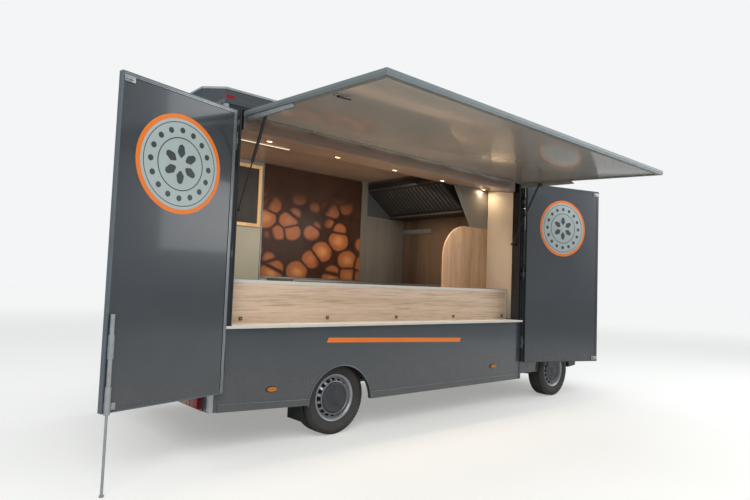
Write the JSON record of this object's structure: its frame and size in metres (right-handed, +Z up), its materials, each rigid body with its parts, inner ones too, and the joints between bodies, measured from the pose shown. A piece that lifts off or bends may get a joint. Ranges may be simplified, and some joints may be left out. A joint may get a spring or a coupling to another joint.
{
  "type": "food truck",
  "caption": "Light food truck: a van cab with a box body whose kerb side opens as a serving hatch under a gas-strut flap, between two hinged wing panels.",
  "frame": {"origin": "on the ground under the middle of the whole vehicle's box, with its flap and wings open", "axes": "+X forward, +Y to the vehicle's left, +Z up"},
  "size_m": [6.9736, 4.1203, 3.1],
  "materials": {
    "body_paint": "gloss anthracite paint on sandwich panel",
    "flap_panel": "satin taupe lining in an aluminium frame",
    "wing_panel": "gloss anthracite panel in an aluminium frame",
    "floor": "grained floor covering on plywood",
    "lining": "satin warm lining",
    "shelf_board": "satin cream worktop",
    "oak": "light oiled oak",
    "kitchen_steel": "brushed stainless steel",
    "cab_paint": "gloss anthracite",
    "bumper_plastic": "grained dark plastic",
    "lamp_glass": "clear moulded lens",
    "cab_glass": "tinted safety glass",
    "cab_trim": "grained dark plastic",
    "seat_cloth": "woven dark cloth",
    "engine": "cast",
    "frame_steel": "satin black",
    "tank_plastic": "moulded black",
    "exhaust_steel": "dull steel",
    "red_lens": "moulded red lens",
    "amber_lens": "moulded amber lens",
    "zinc_steel": "zinc plated tube",
    "strut_black": "gloss black",
    "strut_chrome": "polished",
    "rim_silver": "silver enamel",
    "tyre": "worn rubber"
  },
  "bodies": {
    "root": {"body_floor": "floor", "kerb_wall": "body_paint", "far_wall": "body_paint", "front_wall": "body_paint", "rear_wall": "body_paint", "kerb_posts": "body_paint", "header": "body_paint", "roof": "body_paint", "rear_bumper": "body_paint", "ceiling": "lining", "shelf": "shelf_board", "counter": "oak", "wood_screen": "oak", "kitchen_counter": "kitchen_steel", "exhaust_hood": "kitchen_steel", "side_panel": "kitchen_steel", "cab_shell": "cab_paint", "cab_door_right": "cab_paint", "bumper": "bumper_plastic", "grille": "bumper_plastic", "headlamps": "lamp_glass", "cab_glass": "cab_glass", "dashboard": "cab_trim", "seats": "seat_cloth", "engine_block": "engine", "chassis_frame": "frame_steel", "rear_axle": "frame_steel", "front_suspension": "frame_steel", "fuel_tank": "tank_plastic", "exhaust": "exhaust_steel", "rear_lamps": "red_lens", "side_markers": "amber_lens"},
    "flap": {"flap": "flap_panel"},
    "wing_rear": {"wing_rear": "wing_panel", "prop_tube": "zinc_steel"},
    "wing_front": {"wing_front": "wing_panel"},
    "prop_leg": {"prop_leg": "zinc_steel"},
    "strut_tube_rear": {"strut_tube_rear": "strut_black"},
    "strut_tube_front": {"strut_tube_front": "strut_black"},
    "strut_rod_rear": {"strut_rod_rear": "strut_chrome"},
    "strut_rod_front": {"strut_rod_front": "strut_chrome"},
    "staff_door": {"staff_door": "body_paint"},
    "cab_door_left": {"cab_door_left": "cab_paint", "door_glass_left": "cab_glass"},
    "bonnet": {"bonnet": "cab_paint"},
    "steering_wheel": {"steering_wheel": "cab_trim"},
    "knuckle_left": {"knuckle_left": "frame_steel"},
    "knuckle_right": {"knuckle_right": "frame_steel"},
    "wheel_front_left": {"rim_front_left": "rim_silver", "tyre_front_left": "tyre"},
    "wheel_front_right": {"rim_front_right": "rim_silver", "tyre_front_right": "tyre"},
    "wheel_rear_left": {"rim_rear_left": "rim_silver", "tyre_rear_left": "tyre"},
    "wheel_rear_right": {"rim_rear_right": "rim_silver", "tyre_rear_right": "tyre"}
  },
  "joints": [
    {"name": "spin_front_left", "type": "hinge", "parent": "knuckle_left", "child": "wheel_front_left", "pos_m": [2.54, 1.71, 0.345], "axis": [0, 1, 0], "continuous": true},
    {"name": "spin_front_right", "type": "hinge", "parent": "knuckle_right", "child": "wheel_front_right", "pos_m": [2.54, -0.13, 0.345], "axis": [0, 1, 0], "continuous": true},
    {"name": "spin_rear_left", "type": "hinge", "parent": "root", "child": "wheel_rear_left", "pos_m": [-1.26, 1.71, 0.345], "axis": [0, 1, 0], "continuous": true},
    {"name": "spin_rear_right", "type": "hinge", "parent": "root", "child": "wheel_rear_right", "pos_m": [-1.26, -0.13, 0.345], "axis": [0, 1, 0], "continuous": true},
    {"name": "steer_left", "type": "hinge", "parent": "root", "child": "knuckle_left", "pos_m": [2.54, 1.56, 0.345], "axis": [0, 0, 1], "range_deg": [-32, 32]},
    {"name": "steer_right", "type": "hinge", "parent": "root", "child": "knuckle_right", "pos_m": [2.54, 0.02, 0.345], "axis": [0, 0, 1], "range_deg": [-32, 32]},
    {"name": "steering_turn", "type": "hinge", "parent": "root", "child": "steering_wheel", "pos_m": [2.51, 1.21, 1.16], "axis": [-0.8191, 0, 0.5736], "range_deg": [-481, 481]},
    {"name": "flap_hinge", "type": "hinge", "parent": "root", "child": "flap", "pos_m": [-0.444, -0.316, 2.83], "axis": [1, 0, 0], "range_deg": [0, 87]},
    {"name": "strut_pivot_rear", "type": "hinge", "parent": "flap", "child": "strut_tube_rear", "pos_m": [-2.376, -0.62191, 2.74387], "axis": [1, 0, 0], "range_deg": [-114.82, 1]},
    {"name": "strut_slide_rear", "type": "slide", "parent": "strut_tube_rear", "child": "strut_rod_rear", "axis": [0, -0.4616, 0.8871], "range_m": [-0.001, 0.3183]},
    {"name": "strut_pivot_front", "type": "hinge", "parent": "flap", "child": "strut_tube_front", "pos_m": [1.489, -0.62191, 2.74387], "axis": [1, 0, 0], "range_deg": [-114.82, 1]},
    {"name": "strut_slide_front", "type": "slide", "parent": "strut_tube_front", "child": "strut_rod_front", "axis": [0, -0.4616, 0.8871], "range_m": [-0.001, 0.3183]},
    {"name": "wing_rear_hinge", "type": "hinge", "parent": "root", "child": "wing_rear", "pos_m": [-2.475, -0.345, 1.6], "axis": [0, 0, 1], "range_deg": [-14.5, 75.5]},
    {"name": "wing_front_hinge", "type": "hinge", "parent": "root", "child": "wing_front", "pos_m": [1.595, -0.345, 1.6], "axis": [0, 0, -1], "range_deg": [-6.7, 71.3]},
    {"name": "prop_leg_slide", "type": "slide", "parent": "wing_rear", "child": "prop_leg", "axis": [0, 0, 1], "range_m": [0, 0.35]},
    {"name": "staff_door_hinge", "type": "hinge", "parent": "root", "child": "staff_door", "pos_m": [-2.59, 1.437, 1.5], "axis": [0, 0, -1], "range_deg": [0, 110]},
    {"name": "cab_door_hinge", "type": "hinge", "parent": "root", "child": "cab_door_left", "pos_m": [2.501, 1.824, 1], "axis": [0, 0, -1], "range_deg": [0, 65]},
    {"name": "bonnet_hinge", "type": "hinge", "parent": "root", "child": "bonnet", "pos_m": [3.013, 0.79, 1.332], "axis": [0, -1, 0], "range_deg": [0, 55]}
  ],
  "couplings": [
    {"joint": "steer_right", "follows": "steer_left", "ratio": 1},
    {"joint": "steering_turn", "follows": "steer_left", "ratio": 15},
    {"joint": "strut_pivot_rear", "follows": "flap_hinge", "ratio": -1.3083},
    {"joint": "strut_slide_rear", "follows": "flap_hinge", "m_per_rad": 0.20894},
    {"joint": "strut_pivot_front", "follows": "flap_hinge", "ratio": -1.3083},
    {"joint": "strut_slide_front", "follows": "flap_hinge", "m_per_rad": 0.20894}
  ]
}
